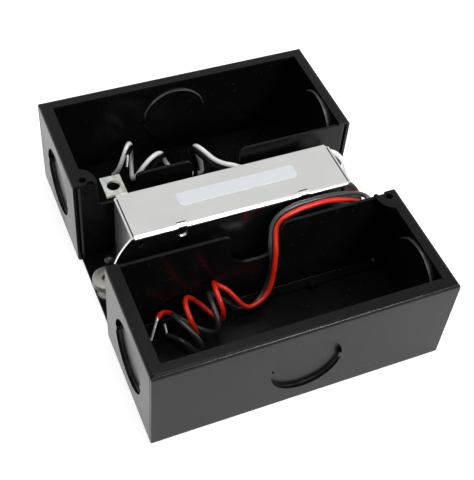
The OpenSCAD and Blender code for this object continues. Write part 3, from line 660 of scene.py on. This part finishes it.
class LEDDRIVER_OT_enclosure(bpy.types.Operator):
    """Coat the enclosure and its partitions, close the knock-outs' slits with dark rings of painted shade and
    bare sheared edges, and finish the locating stud
    """

    bl_idname = "leddriver.enclosure"
    bl_label = "Enclosure"

    def execute(self, context):
        coat = powder_coat("black_powder_coat", context.scene.led_driver_finishes.coat, smooth=0.2)
        dress(coat, "enclosure_pan", "line_side_partition", "load_side_partition")

        # Dark ring of the black coat put in each knock-out's open slit: painted shade.
        def slit_shade_ring(shape):
            slit_rings(shape, SLIT_SHADE_SECTION_MM)

        def edge(shape):
            slit_rings(shape, SHEARED_EDGE_SECTION_MM)

        add_mesh("knockout_slit_shade", slit_shade_ring, coat)
        sheared = plated("sheared_steel", (0.4, 0.4, 0.4), smooth=0.4, depth=0.00003, darkest=0.6)
        add_mesh("knockout_sheared_edge", edge, sheared)
        dress(moulded("stud_plastic", (0.012, 0.012, 0.013), smooth=0.1, grain=500), "locating_stud")
        return {"FINISHED"}


class LEDDRIVER_OT_driver_case(bpy.types.Operator):
    """Finish the driver's case, its bare label and its lead bushings"""

    bl_idname = "leddriver.driver_case"
    bl_label = "Driver case"

    def execute(self, context):
        finishes = context.scene.led_driver_finishes
        sheet = satin_sheet("driver_case_sheet", finishes.case, smooth=0.18, grain=0.04)
        dress(sheet, "driver_channel", "driver_tray")
        dress(paper("label", finishes.label), "blank_label")
        plastic = moulded("black_plastic", (0.02, 0.02, 0.02), smooth=0.4, grain=900)
        dress(plastic, "line_lead_bushing", "load_lead_bushing")
        return {"FINISHED"}


class LEDDRIVER_OT_ground_lug(bpy.types.Operator):
    """Plate the ground lug and its rivet"""

    bl_idname = "leddriver.ground_lug"
    bl_label = "Ground lug"

    def execute(self, context):
        colour = context.scene.led_driver_finishes.zinc
        zinc = plated("zinc_plate", colour, smooth=0.42, depth=0.0003, darkest=0.5)
        dress(zinc, "ground_lug", "ground_lug_rivet")
        return {"FINISHED"}


def ring_of(shape, radii, z, centre):
    """Closed ring of points, one for each radius, round an upright axis."""
    count = len(radii)
    return [
        shape.verts.new(centre + Vector((
            radius * math.cos(math.tau * k / count), radius * math.sin(math.tau * k / count), z)))
        for k, radius in enumerate(radii)
    ]


def knurled_nut(shape, centre, radius, height, settings):
    """Thumb nut: a collar, a ridged head with eased edges, a flat top and a bore."""
    groove = (0.0, 0.35, 1.0, 0.35)
    below_grooves = 1.4
    count = settings.knurls * len(groove)
    crest = [radius - settings.ridge * groove[k % len(groove)] for k in range(count)]
    plain = radius - settings.ridge * below_grooves
    bore = settings.bore / 2
    ease = 0.0003
    head = height - settings.head
    collar = settings.collar / 2
    below = [(bore, 0.0), (collar, 0.0), (collar, head), (plain - ease, head)]
    above = [(plain - ease, height), (bore + ease, height), (bore, height - ease)]
    rings = [ring_of(shape, [wide] * count, z, centre) for wide, z in below]
    rings += [ring_of(shape, crest, z, centre) for z in (head + ease, height - ease)]
    rings += [ring_of(shape, [wide] * count, z, centre) for wide, z in above]
    bridge_rings(shape, rings + rings[:1])


def threaded_stud(shape, centre, radius, height, pitch):
    """Stud with a helical thread and a flat end."""
    around = 24
    depth = pitch * 0.5
    per_turn = 4
    rows = int(height / pitch * per_turn)
    rings = []
    for row in range(rows + 1):
        z = height * row / rows
        ring = []
        for k in range(around):
            turn = k / around
            phase = (z / pitch - turn) % 1.0
            ridge = abs(2 * phase - 1)
            size = radius - depth * ridge
            ring.append(shape.verts.new(centre + Vector((
                size * math.cos(math.tau * turn), size * math.sin(math.tau * turn), z))))
        rings.append(ring)
    bridge_rings(shape, rings)
    cap_ends(shape, rings)


class LEDDRIVER_OT_thumb_nuts(bpy.types.Operator):
    """Make the knurled thumb nuts and their threaded studs"""

    bl_idname = "leddriver.thumb_nuts"
    bl_label = "Thumb nuts"

    def execute(self, context):
        settings = context.scene.led_driver_nuts
        colour = context.scene.led_driver_finishes.nickel
        plate = plated("nickel_plate", colour, smooth=0.4, depth=0.00003, darkest=0.9)
        nut_low, nut_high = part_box("thumb_nuts")
        stud_low, stud_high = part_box("foot_studs")
        nut_radius = (nut_high.y - nut_low.y) / 2
        stud_radius = (stud_high.y - stud_low.y) / 2
        places = [(nut_low.x + nut_radius, "left"), (nut_high.x - nut_radius, "right")]
        for x, side in places:
            nut_centre = Vector((x, 0, nut_low.z))
            stud_centre = Vector((x, 0, stud_low.z))

            def build_nut(shape):
                knurled_nut(shape, nut_centre, nut_radius, nut_high.z - nut_low.z, settings)

            def build_stud(shape):
                threaded_stud(shape, stud_centre, stud_radius, stud_high.z - stud_low.z, settings.pitch)

            nut = add_mesh("thumb_nut_" + side, build_nut, plate)
            stud = add_mesh("foot_stud_" + side, build_stud, plate)
            if side == "left":
                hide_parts("thumb_nuts")
                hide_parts("foot_studs")
        return {"FINISHED"}


class LEDDRIVER_OT_circuit(bpy.types.Operator):
    """Finish the circuit board and what stands on it"""

    bl_idname = "leddriver.circuit"
    bl_label = "Circuit"

    def execute(self, context):
        for name, (colour, smooth, grain, nodes) in CIRCUIT_FINISHES.items():
            dress(moulded(name, colour, smooth, grain), *nodes)
        spreader = satin_sheet("heat_spreader_sheet", (0.75, 0.76, 0.78), smooth=0.32, grain=0.1)
        dress(spreader, "heat_spreader")
        return {"FINISHED"}


def white_to_the_eye(tree, low, high):
    """Strength that is high for what is seen straight or in a reflection, and low for light on the object."""
    rays = tree.nodes.new("ShaderNodeLightPath")
    seen = rays.outputs["Is Camera Ray"]
    for name in ("Is Glossy Ray", "Is Transmission Ray"):
        seen = combine(tree, "MAXIMUM", seen, rays.outputs[name])
    strength = tree.nodes.new("ShaderNodeMapRange")
    strength.inputs["To Min"].default_value = low
    strength.inputs["To Max"].default_value = high
    tree.links.new(seen, strength.inputs["Value"])
    return strength.outputs["Result"]


def dimmer_overhead(tree, strength, ceiling, low=0.25, high=0.9):
    """Strength that falls to a share of itself as the upward part of the direction goes from low to high."""
    way = tree.nodes.new("ShaderNodeTexCoord").outputs["Generated"]
    parts = tree.nodes.new("ShaderNodeSeparateXYZ")
    tree.links.new(way, parts.inputs["Vector"])
    share = tree.nodes.new("ShaderNodeMapRange")
    share.inputs["From Min"].default_value = low
    share.inputs["From Max"].default_value = high
    share.inputs["To Min"].default_value = 1.0
    share.inputs["To Max"].default_value = ceiling
    tree.links.new(parts.outputs["Z"], share.inputs["Value"])
    return combine(tree, "MULTIPLY", strength, share.outputs["Result"])


def add_camera(settings):
    """Camera of the main view, from its place, its direction and its focal length in pixels."""
    aim = Vector(settings.aim).normalized()
    right = Vector(settings.right).normalized()
    up = right.cross(aim)
    data = bpy.data.cameras.new("camera")
    data.sensor_width = 36
    data.lens = settings.focal * data.sensor_width / settings.picture
    data.clip_start = 0.01
    camera = bpy.data.objects.new("camera", data)
    turn = Matrix((right, up, -aim)).transposed().to_4x4()
    camera.matrix_world = Matrix.Translation(settings.eye) @ turn
    bpy.context.scene.collection.objects.link(camera)
    bpy.context.scene.camera = camera


def add_floor(colour):
    """Wide pale floor just under the object, white to the eye, with the object's shadow on it."""
    half = 2.0
    level = -0.0002
    corners = [(-half, -half, level), (half, -half, level), (half, half, level), (-half, half, level)]
    mesh = bpy.data.meshes.new("floor")
    mesh.from_pydata(corners, [], [(0, 1, 2, 3)])
    floor = bpy.data.objects.new("floor", mesh)
    bpy.context.scene.collection.objects.link(floor)
    material, tree, shader, place = start_finish("pale_floor")
    mottle(tree, shader, noise(tree, place, cells=30, detail=2), colour, darkest=0.99, lightest=1.0)
    shader.inputs["Roughness"].default_value = 0.9
    shader.inputs["Emission Color"].default_value = (*WHITE, 1)
    tree.links.new(white_to_the_eye(tree, low=0.0, high=0.55), shader.inputs["Emission Strength"])
    mesh.materials.append(material)


def add_room(strength, ceiling):
    """White room round the object, dimmer overhead than at the sides."""
    world = bpy.data.worlds.new("white_room")
    world.use_nodes = True
    bpy.context.scene.world = world
    tree = world.node_tree
    background = tree.nodes["Background"]
    background.inputs["Color"].default_value = (*WHITE, 1)
    light = white_to_the_eye(tree, low=strength, high=1.0)
    tree.links.new(dimmer_overhead(tree, light, ceiling), background.inputs["Strength"])


def add_softbox(name, place, size, power):
    """Square lamp that faces the object."""
    lamp = bpy.data.lights.new(name, "AREA")
    lamp.shape = "SQUARE"
    lamp.size = size
    lamp.energy = power
    light = bpy.data.objects.new(name, lamp)
    light.location = place
    light.rotation_euler = (-Vector(place)).to_track_quat("-Z", "Y").to_euler()
    bpy.context.scene.collection.objects.link(light)


class LEDDRIVER_OT_stage(bpy.types.Operator):
    """Set up the camera, the pale floor, the white room and the lamps"""

    bl_idname = "leddriver.stage"
    bl_label = "Stage"

    def execute(self, context):
        settings = context.scene.led_driver_stage
        context.scene.view_settings.view_transform = "Standard"
        add_camera(settings)
        add_floor(settings.floor)
        add_room(settings.room, settings.ceiling)
        add_softbox("overhead_softbox", place=(-0.1, 0.0, 1.0), size=0.9, power=settings.softbox)
        add_softbox("side_fill", place=(0.9, -0.5, 0.6), size=0.6, power=settings.fill)
        add_softbox("front_light", place=(0.27, -0.68, 0.52), size=0.2, power=settings.front)
        return {"FINISHED"}


class LEDDRIVER_PT_panel(bpy.types.Panel):
    """Lists the steps that make the looks"""

    bl_label = "LED driver"
    bl_idname = "LEDDRIVER_PT_panel"
    bl_space_type = "VIEW_3D"
    bl_region_type = "UI"
    bl_category = "LED driver"

    def draw(self, context):
        for step in STEPS:
            self.layout.operator(step.bl_idname)
        for group in GROUPS:
            settings = getattr(context.scene, group)
            for name in settings.__annotations__:
                self.layout.prop(settings, name)


STEPS = (
    LEDDRIVER_OT_stage,
    LEDDRIVER_OT_line_leads,
    LEDDRIVER_OT_load_leads,
    LEDDRIVER_OT_enclosure,
    LEDDRIVER_OT_driver_case,
    LEDDRIVER_OT_ground_lug,
    LEDDRIVER_OT_thumb_nuts,
    LEDDRIVER_OT_circuit,
)
GROUPS = {
    "led_driver_leads": LeadSettings,
    "led_driver_finishes": FinishSettings,
    "led_driver_nuts": NutSettings,
    "led_driver_stage": StageSettings,
}


def register():
    """Adds the settings, the steps and the panel to Blender."""
    for name, group in GROUPS.items():
        bpy.utils.register_class(group)
        setattr(bpy.types.Scene, name, PointerProperty(type=group))
    for step in STEPS:
        bpy.utils.register_class(step)
    bpy.utils.register_class(LEDDRIVER_PT_panel)


def unregister():
    """Takes them out again."""
    bpy.utils.unregister_class(LEDDRIVER_PT_panel)
    for step in reversed(STEPS):
        bpy.utils.unregister_class(step)
    for name, group in reversed(GROUPS.items()):
        delattr(bpy.types.Scene, name)
        bpy.utils.unregister_class(group)


def main():
    """Makes everything in order."""
    register()
    bpy.ops.leddriver.stage()
    bpy.ops.leddriver.line_leads()
    bpy.ops.leddriver.load_leads()
    bpy.ops.leddriver.enclosure()
    bpy.ops.leddriver.driver_case()
    bpy.ops.leddriver.ground_lug()
    bpy.ops.leddriver.thumb_nuts()
    bpy.ops.leddriver.circuit()


if __name__ == "__main__":
    main()
